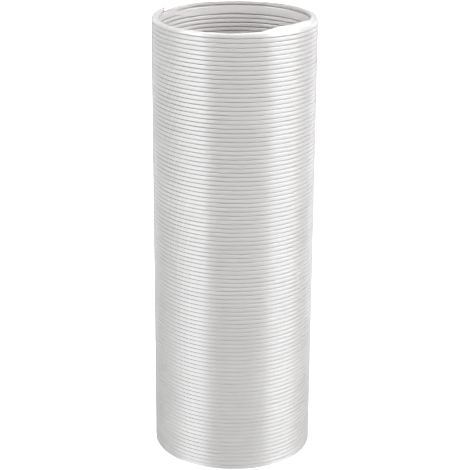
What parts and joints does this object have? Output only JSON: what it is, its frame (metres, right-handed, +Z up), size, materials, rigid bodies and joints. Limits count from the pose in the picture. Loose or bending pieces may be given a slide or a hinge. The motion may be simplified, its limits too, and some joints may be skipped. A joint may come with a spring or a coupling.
{
  "type": "flexible air duct",
  "caption": "White pleated air duct wound from a plastic strip, round and open at both ends; it stands pushed together and pulls out lengthwise to several times its height.",
  "frame": {"origin": "middle of the lower mouth, on the plane that the duct stands on", "axes": "+Z up along the duct's axis; -Y is the front seen in the picture, +X its right"},
  "size_m": [0.15, 0.15, 0.42],
  "materials": {
    "strip": "semi-gloss natural white polypropylene, slightly translucent"
  },
  "bodies": {
    "turns_001_to_004": {"turns_001_to_004": "strip"},
    "turns_005_to_008": {"turns_005_to_008": "strip"},
    "turns_009_to_012": {"turns_009_to_012": "strip"},
    "turns_013_to_016": {"turns_013_to_016": "strip"},
    "turns_017_to_020": {"turns_017_to_020": "strip"},
    "turns_021_to_024": {"turns_021_to_024": "strip"},
    "turns_025_to_028": {"turns_025_to_028": "strip"},
    "turns_029_to_032": {"turns_029_to_032": "strip"},
    "turns_033_to_036": {"turns_033_to_036": "strip"},
    "turns_037_to_040": {"turns_037_to_040": "strip"},
    "turns_041_to_044": {"turns_041_to_044": "strip"},
    "turns_045_to_048": {"turns_045_to_048": "strip"},
    "turns_049_to_052": {"turns_049_to_052": "strip"},
    "turns_053_to_056": {"turns_053_to_056": "strip"},
    "turns_057_to_060": {"turns_057_to_060": "strip"},
    "turns_061_to_064": {"turns_061_to_064": "strip"},
    "turns_065_to_068": {"turns_065_to_068": "strip"},
    "turns_069_to_072": {"turns_069_to_072": "strip"},
    "turns_073_to_076": {"turns_073_to_076": "strip"},
    "turns_077_to_080": {"turns_077_to_080": "strip"},
    "turns_081_to_084": {"turns_081_to_084": "strip"},
    "turns_085_to_088": {"turns_085_to_088": "strip"},
    "turns_089_to_092": {"turns_089_to_092": "strip"},
    "turns_093_to_096": {"turns_093_to_096": "strip"},
    "turns_097_to_100": {"turns_097_to_100": "strip"},
    "turns_101_to_104": {"turns_101_to_104": "strip"}
  },
  "joints": [
    {"name": "stretch_01", "type": "slide", "parent": "turns_001_to_004", "child": "turns_005_to_008", "axis": [0, 0, 1], "range_m": [0, 0.04332]},
    {"name": "stretch_02", "type": "slide", "parent": "turns_001_to_004", "child": "turns_009_to_012", "axis": [0, 0, 1], "range_m": [0, 0.08664]},
    {"name": "stretch_03", "type": "slide", "parent": "turns_001_to_004", "child": "turns_013_to_016", "axis": [0, 0, 1], "range_m": [0, 0.12996]},
    {"name": "stretch_04", "type": "slide", "parent": "turns_001_to_004", "child": "turns_017_to_020", "axis": [0, 0, 1], "range_m": [0, 0.17328]},
    {"name": "stretch_05", "type": "slide", "parent": "turns_001_to_004", "child": "turns_021_to_024", "axis": [0, 0, 1], "range_m": [0, 0.2166]},
    {"name": "stretch_06", "type": "slide", "parent": "turns_001_to_004", "child": "turns_025_to_028", "axis": [0, 0, 1], "range_m": [0, 0.25992]},
    {"name": "stretch_07", "type": "slide", "parent": "turns_001_to_004", "child": "turns_029_to_032", "axis": [0, 0, 1], "range_m": [0, 0.30324]},
    {"name": "stretch_08", "type": "slide", "parent": "turns_001_to_004", "child": "turns_033_to_036", "axis": [0, 0, 1], "range_m": [0, 0.34656]},
    {"name": "stretch_09", "type": "slide", "parent": "turns_001_to_004", "child": "turns_037_to_040", "axis": [0, 0, 1], "range_m": [0, 0.38988]},
    {"name": "stretch_10", "type": "slide", "parent": "turns_001_to_004", "child": "turns_041_to_044", "axis": [0, 0, 1], "range_m": [0, 0.4332]},
    {"name": "stretch_11", "type": "slide", "parent": "turns_001_to_004", "child": "turns_045_to_048", "axis": [0, 0, 1], "range_m": [0, 0.47652]},
    {"name": "stretch_12", "type": "slide", "parent": "turns_001_to_004", "child": "turns_049_to_052", "axis": [0, 0, 1], "range_m": [0, 0.51984]},
    {"name": "stretch_13", "type": "slide", "parent": "turns_001_to_004", "child": "turns_053_to_056", "axis": [0, 0, 1], "range_m": [0, 0.56316]},
    {"name": "stretch_14", "type": "slide", "parent": "turns_001_to_004", "child": "turns_057_to_060", "axis": [0, 0, 1], "range_m": [0, 0.60648]},
    {"name": "stretch_15", "type": "slide", "parent": "turns_001_to_004", "child": "turns_061_to_064", "axis": [0, 0, 1], "range_m": [0, 0.6498]},
    {"name": "stretch_16", "type": "slide", "parent": "turns_001_to_004", "child": "turns_065_to_068", "axis": [0, 0, 1], "range_m": [0, 0.69312]},
    {"name": "stretch_17", "type": "slide", "parent": "turns_001_to_004", "child": "turns_069_to_072", "axis": [0, 0, 1], "range_m": [0, 0.73644]},
    {"name": "stretch_18", "type": "slide", "parent": "turns_001_to_004", "child": "turns_073_to_076", "axis": [0, 0, 1], "range_m": [0, 0.77976]},
    {"name": "stretch_19", "type": "slide", "parent": "turns_001_to_004", "child": "turns_077_to_080", "axis": [0, 0, 1], "range_m": [0, 0.82308]},
    {"name": "stretch_20", "type": "slide", "parent": "turns_001_to_004", "child": "turns_081_to_084", "axis": [0, 0, 1], "range_m": [0, 0.8664]},
    {"name": "stretch_21", "type": "slide", "parent": "turns_001_to_004", "child": "turns_085_to_088", "axis": [0, 0, 1], "range_m": [0, 0.90972]},
    {"name": "stretch_22", "type": "slide", "parent": "turns_001_to_004", "child": "turns_089_to_092", "axis": [0, 0, 1], "range_m": [0, 0.95304]},
    {"name": "stretch_23", "type": "slide", "parent": "turns_001_to_004", "child": "turns_093_to_096", "axis": [0, 0, 1], "range_m": [0, 0.99636]},
    {"name": "stretch_24", "type": "slide", "parent": "turns_001_to_004", "child": "turns_097_to_100", "axis": [0, 0, 1], "range_m": [0, 1.03968]},
    {"name": "stretch", "type": "slide", "parent": "turns_001_to_004", "child": "turns_101_to_104", "axis": [0, 0, 1], "range_m": [0, 1.083]}
  ],
  "couplings": [
    {"joint": "stretch_01", "follows": "stretch", "ratio": 0.04},
    {"joint": "stretch_02", "follows": "stretch", "ratio": 0.08},
    {"joint": "stretch_03", "follows": "stretch", "ratio": 0.12},
    {"joint": "stretch_04", "follows": "stretch", "ratio": 0.16},
    {"joint": "stretch_05", "follows": "stretch", "ratio": 0.2},
    {"joint": "stretch_06", "follows": "stretch", "ratio": 0.24},
    {"joint": "stretch_07", "follows": "stretch", "ratio": 0.28},
    {"joint": "stretch_08", "follows": "stretch", "ratio": 0.32},
    {"joint": "stretch_09", "follows": "stretch", "ratio": 0.36},
    {"joint": "stretch_10", "follows": "stretch", "ratio": 0.4},
    {"joint": "stretch_11", "follows": "stretch", "ratio": 0.44},
    {"joint": "stretch_12", "follows": "stretch", "ratio": 0.48},
    {"joint": "stretch_13", "follows": "stretch", "ratio": 0.52},
    {"joint": "stretch_14", "follows": "stretch", "ratio": 0.56},
    {"joint": "stretch_15", "follows": "stretch", "ratio": 0.6},
    {"joint": "stretch_16", "follows": "stretch", "ratio": 0.64},
    {"joint": "stretch_17", "follows": "stretch", "ratio": 0.68},
    {"joint": "stretch_18", "follows": "stretch", "ratio": 0.72},
    {"joint": "stretch_19", "follows": "stretch", "ratio": 0.76},
    {"joint": "stretch_20", "follows": "stretch", "ratio": 0.8},
    {"joint": "stretch_21", "follows": "stretch", "ratio": 0.84},
    {"joint": "stretch_22", "follows": "stretch", "ratio": 0.88},
    {"joint": "stretch_23", "follows": "stretch", "ratio": 0.92},
    {"joint": "stretch_24", "follows": "stretch", "ratio": 0.96}
  ]
}
